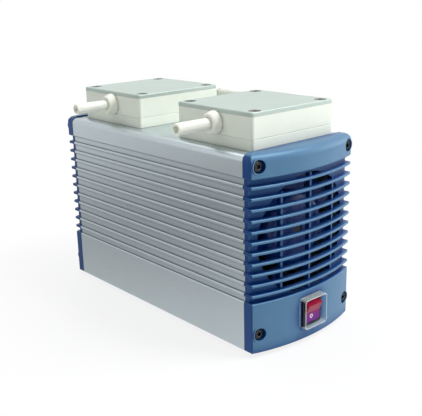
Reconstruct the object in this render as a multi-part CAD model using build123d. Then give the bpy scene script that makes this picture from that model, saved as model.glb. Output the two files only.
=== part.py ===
from build123d import *
import os
from math import cos, radians, sin, sqrt

# Two-head diaphragm vacuum pump. Millimetres, +Z up, front cover towards -Y.
# The origin is on the floor, under the middle of the extruded body.

# Body extrusion
body_width = 140.0
front_margin = 1.8
rear_margin = 8.8
body_height = 192.2
crown_radius = 6.0
wall = 2.7
floor_wall = 5.0
roof_wall = 8.0
rib_count = 11
rib_pitch = 10.45
rib_first = 58.2
rib_width = 3.4
rib_depth = 1.8
rib_round = 1.2
plinth_height = 51.2
band_height = 21.4
rail_x = 38.0
rail_width = 14.0
rail_height = 6.0

# Feet
foot_height = 4.5
foot_radius = 9.0
foot_side_inset = 24.0
foot_end_inset = 31.0
foot_screw_radius = 2.0
foot_screw_head = 3.8
foot_screw_recess = 0.6
foot_screw_hex = 3.0
foot_screw_socket = 1.0

# End covers
cover_edge = 10.9
cover_bow = 12.0
cover_lip = 1.6
cover_wall = 3.5
cover_brow = 8.0
cover_corner = 1.5
cover_inner_corner = 0.5
cover_step = 0.5
slat_height = 3.0
slat_depth = 6.0
slat_chamfer = 0.8
grille_floor = 2.5
fan_opening_radius = 59.7
fan_rib_width = 2.4
fan_rib_pitch = 36.0
fan_rib_setback = 3.5
window_border = 0.5
corner_screw_side = 8.0
corner_screw_inset = 19.3
corner_screw_drop = 9.9
corner_boss_radius = 7.5
corner_boss_inset = 1.0
corner_recess_radius = 6.25
corner_seat = 6.5

# Screws, holes and cuts
m6_radius = 3.0
m6_cap_radius = 5.0
m6_cap_height = 6.0
m6_hex = 5.0
m6_length = 22.0
m5_radius = 2.5
m5_cap_radius = 4.25
m5_cap_height = 5.0
m5_hex = 4.0
sink_radius = 6.1
sink_hex = 4.0
sink_socket = 2.2
sink_drop = 0.2
sink_lip = 0.5
sink_gap = 0.1
thread_gap = 0.05
hole_gap = 0.3
screw_chamfer = 0.6
screw_short = 1.0
overrun = 1.0

# Pump heads
head_length = 105.4
head_width = 110.6
head_spacing = 170.0
head_corner = 2.6
base_height = 10.5
block_height = 20.85
plate_height = 4.05
parting_chamfer = 0.5
drive_bore_radius = 42.0
head_screw_spacing = 90.0
plate_chamfer = 0.6
sheet_thickness = 1.0
sheet_width = 36.0
sheet_length = 82.0
sheet_corner = 6.0
flap_width = 14.0
flap_corner = 3.0
flap_slit = 1.2
valve_x = 27.0
valve_throw = 9.5
valve_hole = 2.5
sheet_hole = 2.0
flap_pocket = 1.2

# Ports
port_shift = -3.0
port_drop = 14.1
port_radius = 3.0
spigot_radius = 8.0
spigot_length = 6.0
nozzle_radius = 5.5
nozzle_tail_radius = 5.3
nozzle_bore = 3.3
nozzle_reach = 47.7
nozzle_insert = 8.0
nozzle_round = 1.4
nut_radius = 11.5
nut_tip_radius = 8.6
nut_length = 9.5
nut_chamfer = 0.8
nut_collar = 2.5
nut_lip = 0.5
nut_gap = 0.2
tube_radius = 5.5
tube_bore = 4.0
tube_offset = 24.7
elbow_radius = 7.0
elbow_bend = 10.0
elbow_leg = 24.0
tube_insert = 10.0
small_nut_radius = 10.0
small_nut_length = 12.0
small_nut_nose = 4.0
small_nut_seat = 0.2
tube_end_gap = 0.3

# Drive
shaft_height = 107.5
shaft_radius = 6.0
shaft_chamfer = 1.0
shaft_overhang = 2.0
fan_radius = 56.0
fan_hub_radius = 40.0
fan_depth = 18.0
fan_stand_out = 4.0
fan_hub_round = 12.0
fan_hub_wall = 2.5
fan_boss_radius = 12.0
fan_blades = 7
blade_thickness = 2.0
blade_angles = (56.0, 60.0, 63.0)
blade_chords = (23.0, 26.0, 28.0)
collar_wall = 4.0
collar_length = 6.0
throw = 3.0
journal_radius = 12.5
journal_length = 16.0
rod_bearing_radius = 26.0
rod_bearing_length = 15.0
rod_rim = 6.0
rod_stem_width = 22.0
rod_stem_depth = 11.0
stem_flare = 1.5
stem_taper = 0.8
stem_web = 4.0
stem_border = 4.0
stud_radius = 4.0
counterweight_radius = 33.0
counterweight_depth = 8.0
counterweight_width = 44.0
counterweight_corner = 2.0
running_gap = 0.03

# Motor
stator_radius = 48.0
stator_length = 60.0
air_gap = 0.4
stator_slots = 12
slot_width = 6.0
slot_mouth = 2.4
tooth_tip = 1.0
rotor_radius = 26.0
end_turn_length = 14.0
end_turn_inner = 30.0
end_turn_gap = 1.0
end_ring_length = 8.0
end_ring_width = 9.0
end_ring_step = 1.0
bracket_gap = 4.0
bracket_depth = 10.0
bracket_radius = 52.0
bracket_foot = 52.0
bracket_foot_height = 10.0
bracket_slot_radius = 32.0
bracket_slot_length = 30.0
bracket_slot_width = 14.0
bearing_radius = 16.0
bearing_length = 10.0
bearing_ring_share = 0.2
shield_setback = 0.8
tie_radius = 42.0
tie_overhang = 4.0
capacitor_radius = 17.5
capacitor_length = 58.0
capacitor_x = -38.0
capacitor_gap = 6.0
can_lip = 1.5
tab_length = 8.0
tab_width = 6.0
tab_thickness = 0.8
tab_spacing = 10.0
clip_thickness = 1.5
clip_width = 14.0
clip_gap = 0.1

# Diaphragm
diaphragm_thickness = 2.4
diaphragm_rim_radius = 47.0
support_radius = 22.0
support_height = 5.0
support_dish = 6.0
support_lip = 2.0
clamp_radius = 20.0
clamp_height = 3.5
clamp_skin = 0.9
disc_edge = 1.0
top_dead_gap = 0.6
chamber_wall = 0.5
chamber_gap = 1.0

# Rocker switch
switch_height = 28.5
switch_width = 26.0
switch_tall = 29.0
bezel_depth = 2.2
bezel_wall = 2.6
bezel_chamfer = 0.6
switch_body_depth = 22.0
rocker_gap = 0.4
rocker_depth = 4.5
rocker_swing = 24.0
rocker_mid_depth = 0.6
rocker_pin = 1.5
rocker_pin_gap = 0.06
rocker_pin_seat = 0.8
rocker_hub = 4.0
splash_width = 33.0
splash_tall = 32.0
splash_depth = 8.5
splash_wall = 1.0
splash_corner = 4.0
splash_round = 1.2

# Mains inlet
inlet_height = 26.0
inlet_flange_width = 50.0
inlet_flange_tall = 27.0
inlet_flange_depth = 3.0
inlet_flange_corner = 6.0
inlet_body_width = 27.0
inlet_body_tall = 20.0
inlet_body_depth = 20.0
inlet_socket_width = 24.4
inlet_socket_tall = 16.4
inlet_socket_depth = 16.0
inlet_socket_chamfer = 4.0
inlet_gap = 0.2
pin_setback = 5.0
pin_spacing = 7.0
pin_shift = 2.0
pin_width = 2.0
pin_height = 4.0
inlet_screw_spacing = 40.0
inlet_screw_radius = 1.5
inlet_screw_length = 8.0
inlet_screw_head = 2.9
inlet_screw_crown = 2.4
inlet_screw_dome = 1.9
inlet_slot_width = 0.8
inlet_slot_length = 3.6
pad_border = 1.0

# Places worked out from the sizes above
side = body_width / 2
body_length = front_margin + head_length + head_spacing + rear_margin
end = body_length / 2
head_shift = (front_margin - rear_margin) / 2
bottom = foot_height
roof = bottom + body_height
inner_x = side - rib_depth - wall
floor_top = bottom + floor_wall
rail_top = floor_top + rail_height
shaft_z = bottom + shaft_height
foot_x = side - foot_side_inset
foot_y = end - foot_end_inset
head_ys = {
    "front": head_shift - head_spacing / 2,
    "rear": head_shift + head_spacing / 2,
}
way = {"front": -1, "rear": 1}
cover_height = body_height + cover_lip
bow_radius = (side**2 + cover_bow**2) / (2 * cover_bow)
bow_centre = -end - cover_edge - cover_bow + bow_radius
face_y = -end - cover_edge - cover_bow
corner_screw_x = side - corner_screw_side
grille_top = body_height - band_height
screw_zs = (bottom + corner_screw_inset, roof - corner_screw_drop)
parting = roof + base_height
block_top = parting + block_height
plate_top = block_top + plate_height
port_z = plate_top - port_drop
tube_x = head_width / 2 + tube_offset
port_holes = (-valve_x, valve_x + valve_throw)
chamber_holes = (-valve_x + valve_throw, valve_x)
winding_radius = tie_radius - m5_radius - end_turn_gap
lift = {"front": throw, "rear": -throw}
bracket_y = stator_length / 2 + end_turn_length + bracket_gap
switch_z = bottom + switch_height
pad_y = face_y + bow_radius - sqrt(bow_radius**2 - (splash_width / 2 + pad_border)**2)
inlet_z = bottom + inlet_height
inlet_pad_y = bow_radius - sqrt(bow_radius**2 - (inlet_flange_width / 2 + pad_border)**2)
inlet_face = -face_y - inlet_pad_y


def rect(x0, x1, z0, z1):
    """Rectangle between two corners."""
    return Pos((x0 + x1) / 2, (z0 + z1) / 2) * Rectangle(x1 - x0, z1 - z0)


def trapezium(low_width, top_width, z0, z1):
    """Upright tapered face, centred on x = 0."""
    a, b = low_width / 2, top_width / 2
    return make_face(Polyline((-a, z0), (a, z0), (b, z1), (-b, z1), close=True))


def block(x0, x1, y0, y1, z0, z1):
    """Box between two corners."""
    return Pos((x0 + x1) / 2, (y0 + y1) / 2, (z0 + z1) / 2) * Box(x1 - x0, y1 - y0, z1 - z0)


def rod_x(radius, x0, x1, y, z):
    """Round bar along X."""
    return Pos((x0 + x1) / 2, y, z) * Rot(0, 90, 0) * Cylinder(radius, x1 - x0)


def rod_y(radius, y0, y1, x, z):
    """Round bar along Y."""
    return Pos(x, (y0 + y1) / 2, z) * Rot(90, 0, 0) * Cylinder(radius, y1 - y0)


def rod_z(radius, z0, z1, x, y):
    """Round bar along Z."""
    return Pos(x, y, (z0 + z1) / 2) * Cylinder(radius, z1 - z0)


def slab_y(face, y0, y1):
    """A front view, drawn in X and Z, made solid from y0 to y1."""
    return Pos(0, y1, 0) * extrude(Plane.XZ * face, amount=y1 - y0)


def slab_z(face, z0, z1):
    """A plan, drawn in X and Y, made solid from z0 to z1."""
    return Pos(0, 0, z0) * extrude(face, amount=z1 - z0)


def turned_x(points, y, z):
    """Profile of (x, radius) points turned about an axis along X."""
    return Pos(0, y, z) * revolve(make_face(Polyline(*points, close=True)), Axis.X)


def turned_y(points, x, z):
    """Profile of (radius, y) points turned about an axis along Y."""
    return Pos(x, 0, z) * revolve(make_face(Polyline(*points, close=True)), Axis.Y)


def turned_z(points, x, y):
    """Profile of (radius, z) points turned about an upright axis."""
    face = Plane.XZ * make_face(Polyline(*points, close=True))
    return Pos(x, y, 0) * revolve(face, Axis.Z)


def four(x, y):
    """The four corners of a rectangle about the origin."""
    return [(sx * x, sy * y) for sx in (-1, 1) for sy in (-1, 1)]


def cap_screw(radius, length, cap_radius, cap_height, hex_width):
    """Socket cap screw along -Z, its head's seat at z = 0."""
    c = screw_chamfer
    shank = turned_z([(0, 0.0), (radius, 0), (radius, c - length), (radius - c, -length), (0, -length)], 0, 0)
    head = turned_z([(0, 0), (cap_radius, 0), (cap_radius, cap_height - c), (cap_radius - c, cap_height),
                     (0, cap_height)], 0, 0)
    socket = Pos(0, 0, cap_height / 2) * extrude(RegularPolygon(hex_width / 2, 6, major_radius=False),
                                                 amount=cap_height)
    return head + shank - socket


# ---------------------------------------------------------------- body

def rib_zs():
    """Heights of the ribs and slats above the body's underside."""
    return [rib_first + i * rib_pitch for i in range(rib_count)]


def ribbed_outline(height, crown):
    """Front view of the body: plain bands above and below the ribbed sides."""
    core = rect(rib_depth - side, side - rib_depth, plinth_height - wall, grille_top + wall)
    low = rect(-side, side, 0, plinth_height)
    low = fillet(low.vertices().group_by(Axis.Y)[0], rib_round)
    low = chamfer(low.vertices().group_by(Axis.Y)[-1], rib_depth / 2)
    top = rect(-side, side, grille_top, height)
    top = fillet(top.vertices().group_by(Axis.Y)[-1], crown)
    top = chamfer(top.vertices().group_by(Axis.Y)[0], rib_depth / 2)
    outline = core + low + top
    for z in rib_zs():
        rib = rect(-side, side, z - rib_width / 2, z + rib_width / 2)
        outline += fillet(rib.vertices(), rib_round)
    return outline


def housing():
    """Aluminium extrusion, open at both ends, machined for the heads."""
    outline = ribbed_outline(body_height, crown_radius)
    hollow = rect(-inner_x, inner_x, floor_wall, body_height - roof_wall)
    hollow = fillet(hollow.vertices(), wall)
    profile = outline - hollow
    for x in (-rail_x, rail_x):
        profile += rect(x - rail_width / 2, x + rail_width / 2, floor_wall / 2, floor_wall + rail_height)
    for z in screw_zs:
        for x in (-corner_screw_x, corner_screw_x):
            profile += Pos(x, z - bottom) * Circle(m6_radius + wall)
    for z in screw_zs:
        for x in (-corner_screw_x, corner_screw_x):
            profile -= Pos(x, z - bottom) * Circle(m6_radius + thread_gap)
    body = Pos(0, 0, bottom) * slab_y(profile, -end, end)
    cuts = []
    for y in head_ys.values():
        cuts.append(rod_z(drive_bore_radius, roof - roof_wall - wall, roof + wall, 0, y))
        for dx, dy in four(head_screw_spacing / 2, head_screw_spacing / 2):
            cuts.append(rod_z(m6_radius + thread_gap, roof - roof_wall - wall, roof + wall, dx, y + dy))
    for x, y in four(foot_x, foot_y):
        cuts.append(rod_z(foot_screw_radius + thread_gap, 0, floor_top + wall, x, y))
    for x in (-rail_x, rail_x):
        for y in bracket_ys().values():
            cuts.append(rod_z(m5_radius + thread_gap, bottom + wall, rail_top + wall, x, y))
    return body - cuts


def rubber_feet():
    """Four round feet, each recessed for its screw."""
    bore, recess = foot_screw_radius + thread_gap, foot_screw_head + thread_gap
    bevel, seat = foot_height / 4, foot_height / 2
    foot = turned_z([(bore, foot_height), (bore, seat), (recess, seat), (recess, 0), (foot_radius - bevel, 0),
                     (foot_radius, bevel), (foot_radius, foot_height)], 0, 0)
    return [Pos(x, y, 0) * foot for x, y in four(foot_x, foot_y)]


def feet_screws():
    """Flat-headed screws that hold the feet under the floor."""
    head_height = foot_height / 2 - foot_screw_recess
    tip = floor_top - foot_height / 2 - screw_short
    screw = turned_z([(0, 0.0), (foot_screw_radius, 0), (foot_screw_radius, tip), (0, tip)], 0, 0)
    screw += rod_z(foot_screw_head, -head_height, 0, 0, 0)
    screw -= Pos(0, 0, -head_height) * extrude(RegularPolygon(foot_screw_hex / 2, 6, major_radius=False),
                                              amount=foot_screw_socket)
    return [Pos(x, y, foot_height / 2) * screw for x, y in four(foot_x, foot_y)]


# ---------------------------------------------------------------- end covers

def plan(inset):
    """Plan of a cover: flat sides and a bowed face, set in by a wall."""
    half = side - inset
    radius = bow_radius - inset
    y_side = bow_centre - sqrt(radius**2 - half**2)
    edge = Polyline((-half, y_side), (-half, -end), (half, -end), (half, y_side))
    bow = ThreePointArc((half, y_side), (0, bow_centre - radius), (-half, y_side))
    face = make_face([edge, bow])
    corners = face.vertices().filter_by(lambda v: abs(v.Y - y_side) < 0.01)
    return fillet(corners, max(cover_corner - inset, cover_inner_corner))


def bow_ring(depth_out, depth_in, z0, z1):
    """Ring about the bow's axis, between two depths behind the face."""
    face = rect(bow_radius - depth_in, bow_radius - depth_out, z0, z1)
    return Pos(0, bow_centre, 0) * revolve(Plane.XZ * face, Axis.Z)


def louvre_gap(z0, z1):
    """Space between two slats, its edges chamfered at the face."""
    c = slat_chamfer
    r0 = bow_radius - slat_depth
    r1 = bow_radius + c
    points = [(r0, z0), (r1 - 2 * c, z0), (r1, z0 - 2 * c), (r1, z1 + 2 * c), (r1 - 2 * c, z1), (r0, z1)]
    return turned_z(points, 0, bow_centre)


def brow():
    """What the rounded front edges of a cover take off its corners."""
    outside = bow_radius + cover_wall
    top = rect(bow_radius - cover_brow, outside, cover_height - cover_brow, cover_height + cover_wall)
    top -= Pos(bow_radius - cover_brow, cover_height - cover_brow) * Circle(cover_brow)
    low = rect(bow_radius - rib_round, outside, -cover_wall, rib_round)
    low -= Pos(bow_radius - rib_round, rib_round) * Circle(rib_round)
    return [Pos(0, bow_centre, 0) * revolve(Plane.XZ * face, Axis.Z) for face in (top, low)]


def cover_shell():
    """Outside of a cover, solid, with the body's ribs running on round it."""
    shell = slab_z(plan(0), 0, cover_height)
    outline = ribbed_outline(cover_height, crown_radius + cover_lip)
    return (shell & slab_y(outline, face_y - cover_wall, -end)) - brow()


def cover_hollow():
    """Inside of a cover: an even wall, thicker behind the slats."""
    z0, z1 = cover_wall, cover_height - cover_wall
    low, high = plinth_height - cover_wall, grille_top + cover_wall
    behind = slat_depth + grille_floor
    step_y = -end - cover_edge / 2
    hollow = slab_z(plan(cover_wall), z0, low) + slab_z(plan(cover_wall), high, z1)
    hollow += slab_z(plan(behind), z0, z1)
    x = inner_x - cover_step
    hollow += block(-x, x, step_y, -end, z0, z1)
    for x0, x1 in ((-side, behind - side), (side - behind, side)):
        hollow -= block(x0, x1, face_y, step_y, low, high)
    return hollow


def louvre_gaps():
    """Every space between slats, from the plinth up to the top band."""
    edges = [plinth_height]
    for z in rib_zs():
        edges += [z - slat_height / 2, z + slat_height / 2]
    edges.append(grille_top)
    return [louvre_gap(z0, z1) for z0, z1 in zip(edges[::2], edges[1::2])]


def fan_window():
    """Round column of the fan opening, kept inside the grille."""
    column = rod_y(fan_opening_radius, face_y, -end, 0, shaft_height)
    z0, z1 = plinth_height + window_border, grille_top - window_border
    return column & block(-side, side, face_y, -end, z0, z1)


def end_cover():
    """Moulded cover with a louvred grille, standing at z = 0, facing -Y."""
    shell = cover_shell() - cover_hollow() - louvre_gaps()
    window = fan_window()
    shell -= window & bow_ring(slat_depth, slat_depth + cover_wall, 0, cover_height)
    bars = window & bow_ring(fan_rib_setback, slat_depth + grille_floor, 0, cover_height)
    half = fan_rib_width / 2
    for x in (-fan_rib_pitch, 0, fan_rib_pitch):
        shell += bars & block(x - half, x + half, face_y, -end, 0, cover_height)
    for x in (-corner_screw_x, corner_screw_x):
        for z in screw_zs:
            shell += corner_boss(x, z - bottom)
    return shell


def corner_boss(x, z):
    """Sleeve behind a corner screw, from the body's end to the face."""
    y = bow_centre - sqrt((bow_radius - corner_boss_inset)**2 - x**2)
    z0, z1 = corner_boss_inset, cover_height - corner_boss_inset
    return rod_y(corner_boss_radius, y, -end, x, z) & block(x - side, x + side, face_y, -end, z0, z1)


def corner_holes():
    """Recess and clearance hole of each corner screw."""
    seat = -end - corner_seat
    holes = []
    for x in (-corner_screw_x, corner_screw_x):
        for z in screw_zs:
            holes.append(rod_y(corner_recess_radius, face_y - overrun, seat, x, z - bottom))
            holes.append(rod_y(m6_radius + hole_gap, seat - overrun, overrun - end, x, z - bottom))
    return holes


def front_cover():
    """Front cover, with a flat pad and a cut-out for the switch."""
    half_w = splash_width / 2 + pad_border
    half_h = splash_tall / 2 + pad_border
    cover = end_cover() - corner_holes()
    cover += block(-half_w, half_w, pad_y, pad_y + cover_wall, switch_height - half_h, switch_height + half_h)
    cover -= block(-half_w, half_w, face_y - overrun, pad_y, switch_height - half_h, switch_height + half_h)
    w = switch_width / 2 - bezel_wall / 2
    h = switch_tall / 2 - bezel_wall / 2
    cover -= block(-w, w, face_y, -end, switch_height - h, switch_height + h)
    return Pos(0, 0, bottom) * cover


def rear_cover():
    """Rear cover, with a flat pad and a cut-out for the mains inlet."""
    half_w = inlet_flange_width / 2 + pad_border
    half_h = inlet_flange_tall / 2 + pad_border
    z = inlet_height
    cover = end_cover() - corner_holes()
    cover += block(-half_w, half_w, -inlet_face, -inlet_face + cover_wall, z - half_h, z + half_h)
    cover -= block(-half_w, half_w, face_y - overrun, -inlet_face, z - half_h, z + half_h)
    w = inlet_body_width / 2 + inlet_gap
    h = inlet_body_tall / 2 + inlet_gap
    cover -= block(-w, w, face_y, -end, z - h, z + h)
    for x in (-inlet_screw_spacing / 2, inlet_screw_spacing / 2):
        cover -= rod_y(inlet_screw_radius + thread_gap, face_y, -end, x, z)
    return Pos(0, 0, bottom) * Rot(0, 0, 180) * cover


def cover_screws(name):
    """Four socket cap screws in the corners of one cover."""
    screw = Rot(90, 0, 0) * cap_screw(m6_radius, m6_length, m6_cap_radius, m6_cap_height, m6_hex)
    turn = Rot(0, 0, 0 if name == "front" else 180)
    x = corner_screw_x
    return [turn * Pos(a, -end - corner_seat, z) * screw for a in (-x, x) for z in screw_zs]


# ---------------------------------------------------------------- motor and shaft

def bracket_ys():
    """Middle plane of each motor bracket along the shaft."""
    return {k: head_shift + way[k] * (bracket_y + bracket_depth / 2) for k in way}


def at_bracket(name, start, stop):
    """Two places along Y, measured outwards from the motor's middle."""
    places = sorted(head_shift + way[name] * d for d in (start, stop))
    return places[0], places[1]


def tie_places():
    """Tie bolt axes around the shaft."""
    d = tie_radius * sin(radians(45))
    return [(x, shaft_z + z) for x, z in four(d, d)]


def motor_bracket(name):
    """Upright bracket with a spoked bearing plate, standing on the rails."""
    y0, y1 = at_bracket(name, bracket_y, bracket_y + bracket_depth)
    disc = Pos(0, shaft_z) * Circle(bracket_radius)
    foot_top = rail_top + bracket_foot_height
    legs = rect(-bracket_foot, bracket_foot, rail_top, foot_top)
    legs += trapezium(2 * (bracket_foot - wall), 2 * (bracket_radius - wall), rail_top, shaft_z)
    arch_x = rail_x - rail_width
    face = disc + legs - rect(-arch_x, arch_x, rail_top - overrun, foot_top + bracket_foot_height)
    for angle in range(0, 360, 90):
        slot = Pos(0, bracket_slot_radius) * SlotOverall(bracket_slot_length, bracket_slot_width)
        face -= Pos(0, shaft_z) * Rot(0, 0, angle) * slot
    face -= Pos(0, shaft_z) * Circle(bearing_radius + thread_gap)
    for x, z in tie_places():
        face -= Pos(x, z) * Circle(m5_radius + thread_gap)
    bracket = slab_y(face, y0, y1)
    for x in (-rail_x, rail_x):
        bracket -= rod_z(m5_radius + thread_gap, rail_top - overrun, shaft_z, x, (y0 + y1) / 2)
        bracket -= rod_z(m5_cap_radius + hole_gap, foot_top, shaft_z, x, (y0 + y1) / 2)
    return bracket


def bracket_screws():
    """Screws that hold both brackets down on the rails."""
    length = bracket_foot_height + rail_height - screw_short
    screw = cap_screw(m5_radius, length, m5_cap_radius, m5_cap_height, m5_hex)
    z = rail_top + bracket_foot_height
    return [Pos(x, y, z) * screw for x in (-rail_x, rail_x) for y in bracket_ys().values()]


def stator_core():
    """Laminated stator with slots round its bore."""
    y0, y1 = at_bracket("rear", -stator_length / 2, stator_length / 2)
    bore = rotor_radius + air_gap
    face = Circle(stator_radius) - Circle(bore)
    slot = rect(-slot_width / 2, slot_width / 2, bore + tooth_tip, winding_radius)
    slot += rect(-slot_mouth / 2, slot_mouth / 2, bore - overrun, bore + tooth_tip + overrun)
    for i in range(stator_slots):
        face -= Rot(0, 0, (i + 0.5) * 360 / stator_slots) * slot
    for x, z in tie_places():
        face -= Pos(x, z - shaft_z) * Circle(m5_radius + thread_gap)
    return slab_y(Pos(0, shaft_z) * face, y0, y1)


def stator_windings():
    """Bundled end turns on both faces of the stator."""
    rings = []
    for name in way:
        near, far = stator_length / 2, stator_length / 2 + end_turn_length
        lip = end_turn_length / 4
        inner, outer = end_turn_inner, winding_radius
        points = [(inner, near), (outer, near), (outer, far - lip), (outer - lip, far), (inner + lip, far),
                  (inner, far - lip)]
        rings.append(turned_y([(r, head_shift + way[name] * y) for r, y in points], 0, shaft_z))
    return rings


def tie_bolts():
    """Long bolts that clamp the stator between the brackets."""
    length = 2 * (bracket_y + bracket_depth) + tie_overhang
    y = head_shift - bracket_y - bracket_depth
    bolt = Rot(90, 0, 0) * cap_screw(m5_radius, length, m5_cap_radius, m5_cap_height, m5_hex)
    return [Pos(x, y, z) * bolt for x, z in tie_places()]


def ball_bearing(outer, inner, length, y, x, z):
    """Sealed ball bearing along Y, its shields set back between the rings."""
    rim = (outer - inner) * bearing_ring_share
    dish = shield_setback
    h = length / 2
    a, b, deep = inner + rim, outer - rim, h - dish
    points = [(inner, -h), (a, -h), (a, -deep), (b, -deep), (b, -h), (outer, -h), (outer, h), (b, h), (b, deep),
              (a, deep), (a, h), (inner, h)]
    return Pos(0, y, 0) * turned_y(points, x, z)


def motor_bearings():
    """The shaft's two bearings, in their brackets."""
    return [ball_bearing(bearing_radius, shaft_radius + running_gap, bearing_length, y, 0, shaft_z)
            for y in bracket_ys().values()]


def shaft_ends():
    """Ends of the shaft: in the fan at the front, in the crank at the rear."""
    rear = head_ys["rear"] + journal_length / 2 + shaft_overhang
    return fan_y() + shaft_chamfer, rear


def motor_shaft():
    """Ground shaft with chamfered ends, through both cranks and the fan."""
    y0, y1 = shaft_ends()
    r, c = shaft_radius, shaft_chamfer
    return turned_y([(0, y0), (r - c, y0), (r, y0 + c), (r, y1 - c), (r - c, y1), (0, y1)], 0, shaft_z)


def rotor_core():
    """Rotor stack with its cast end rings, on the shaft."""
    half = stator_length / 2
    far = half + end_ring_length
    hub, rim = shaft_radius, rotor_radius
    outer = rim - end_ring_step
    inner = outer - end_ring_width
    points = [(hub, -half), (inner, -half), (inner, -far), (outer, -far), (outer, -half), (rim, -half),
              (rim, half), (outer, half), (outer, far), (inner, far), (inner, half), (hub, half)]
    return turned_y([(r, head_shift + y) for r, y in points], 0, shaft_z)


def fan_y():
    """Front plane of the fan's blades."""
    return -end - fan_stand_out


def fan_blade():
    """One twisted blade, standing up from the hub about y = 0."""
    root = fan_hub_radius - fan_hub_wall / 2
    sections = []
    for radius, angle, chord in zip((root, (root + fan_radius) / 2, fan_radius), blade_angles, blade_chords):
        sections.append(Pos(0, 0, radius) * Rot(0, 0, angle) * Rectangle(blade_thickness, chord))
    blade = loft(sections, ruled=True)
    return blade & rod_y(fan_radius, -fan_depth, fan_depth, 0, 0)


def fan_hub(y0, y1):
    """Domed cup, open at the back, with a boss that takes the shaft."""
    r0, r1, wall = fan_hub_radius - fan_hub_round, fan_hub_radius, fan_hub_wall
    skirt_y, inner = y0 + fan_hub_round, fan_hub_radius - fan_hub_wall
    dome = RadiusArc((r0, y0), (r1, skirt_y), -fan_hub_round)
    skirt = Polyline((r1, skirt_y), (r1, y1), (inner, y1), (inner, skirt_y))
    hollow = RadiusArc((inner, skirt_y), (r0, y0 + wall), fan_hub_round - wall)
    boss = Polyline((r0, y0 + wall), (fan_boss_radius, y0 + wall), (fan_boss_radius, y1), (shaft_radius, y1),
                    (shaft_radius, y0), (r0, y0))
    return revolve(make_face([dome, skirt, hollow, boss]), Axis.Y)


def cooling_fan():
    """Axial fan: a domed hub and twisted blades, on the shaft's front end."""
    y0 = fan_y()
    y1 = y0 + fan_depth
    fan = fan_hub(y0, y1)
    blade = Pos(0, (y0 + y1) / 2, 0) * fan_blade()
    for i in range(fan_blades):
        fan += Rot(0, i * 360 / fan_blades, 0) * blade
    reach = 2 * fan_radius
    fan = fan & block(-reach, reach, y0, y1, -reach, reach)
    fan -= rod_y(shaft_radius, y0 - overrun, y1 + overrun, 0, 0)
    return Pos(0, 0, shaft_z) * fan


def fan_collar():
    """Push-on collar that backs the fan's hub."""
    y0 = fan_y() + fan_depth
    y1 = y0 + collar_length
    collar = rod_y(shaft_radius + collar_wall, y0, y1, 0, shaft_z)
    return collar - rod_y(shaft_radius, y0 - overrun, y1 + overrun, 0, shaft_z)


# ---------------------------------------------------------------- crank and diaphragm

def crank_z(name):
    """Height of the crank pin at rest: front at the top, rear at the bottom."""
    return shaft_z + lift[name]


def eccentric(name):
    """Eccentric journal on the shaft."""
    y = head_ys[name]
    h = journal_length / 2
    journal = rod_y(journal_radius, y - h, y + h, 0, crank_z(name))
    return journal - rod_y(shaft_radius, y - h - overrun, y + h + overrun, 0, shaft_z)


def counterweight(name):
    """Sector weight against the crank, on its motor side."""
    y_near = head_ys[name] - way[name] * journal_length / 2
    y0, y1 = sorted((y_near, y_near - way[name] * counterweight_depth))
    down = -1 if lift[name] > 0 else 1
    strip = Rectangle(counterweight_width, 2 * counterweight_radius)
    face = Circle(counterweight_radius) & (Pos(0, down * counterweight_radius) * strip)
    face = fillet(face.vertices(), counterweight_corner)
    face += Circle(journal_radius)
    face -= Circle(shaft_radius)
    return slab_y(Pos(0, shaft_z) * face, y0, y1)


def rod_bearing(name):
    """Bearing between the eccentric and the connecting rod."""
    bore = journal_radius + running_gap
    return ball_bearing(rod_bearing_radius, bore, rod_bearing_length, head_ys[name], 0, crank_z(name))


def diaphragm_plane(name):
    """Underside of the diaphragm's centre at rest."""
    return parting - diaphragm_thickness + lift[name]


def connecting_rod(name):
    """Rod with a ring for its bearing, a ribbed stem and a threaded stud."""
    y = head_ys[name]
    z = crank_z(name)
    outer = rod_bearing_radius + rod_rim
    top = diaphragm_plane(name) - support_height
    h, c = rod_bearing_length / 2, disc_edge
    seat = rod_bearing_radius
    ring = turned_y([(seat, -h), (outer - c, -h), (outer, c - h), (outer, h - c), (outer - c, h), (seat, h)], 0, z)
    foot = z + outer * stem_taper
    wide, narrow = rod_stem_width * stem_flare, rod_stem_width * stem_taper
    stem = slab_y(trapezium(wide, narrow, foot, top), -rod_stem_depth / 2, rod_stem_depth / 2)
    stem -= rod_y(rod_bearing_radius + c, -h, h, 0, z)
    pocket = trapezium(narrow, narrow / 2, z + outer + stem_border, top - 2 * stem_border)
    stem -= slab_y(pocket, -rod_stem_depth, -stem_web / 2)
    stem -= slab_y(pocket, stem_web / 2, rod_stem_depth)
    stud_top = diaphragm_plane(name) + diaphragm_thickness + clamp_height - clamp_skin
    stud = rod_z(stud_radius, top - overrun, stud_top - thread_gap, 0, 0)
    return Pos(0, y, 0) * (ring + stem + stud)


def support_disc(name):
    """Dished disc under the diaphragm, on the rod's stud."""
    z1 = diaphragm_plane(name)
    z0 = z1 - support_height
    bore, r, c = stud_radius + thread_gap, support_radius, disc_edge
    points = [(bore, z0), (r - support_dish, z0), (r, z1 - support_lip), (r, z1 - c), (r - c, z1), (bore, z1)]
    return turned_z(points, 0, head_ys[name])


def clamping_disc(name):
    """Screwed disc above the diaphragm, flush and smooth on top."""
    z0 = diaphragm_plane(name) + diaphragm_thickness
    z1 = z0 + clamp_height
    bore, r, c = stud_radius + thread_gap, clamp_radius, disc_edge
    skin = z1 - clamp_skin
    points = [(bore, z0), (r - c, z0), (r, z0 + c), (r, z1 - c), (r - c, z1), (0, z1), (0, skin), (bore, skin)]
    return turned_z(points, 0, head_ys[name])


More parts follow.
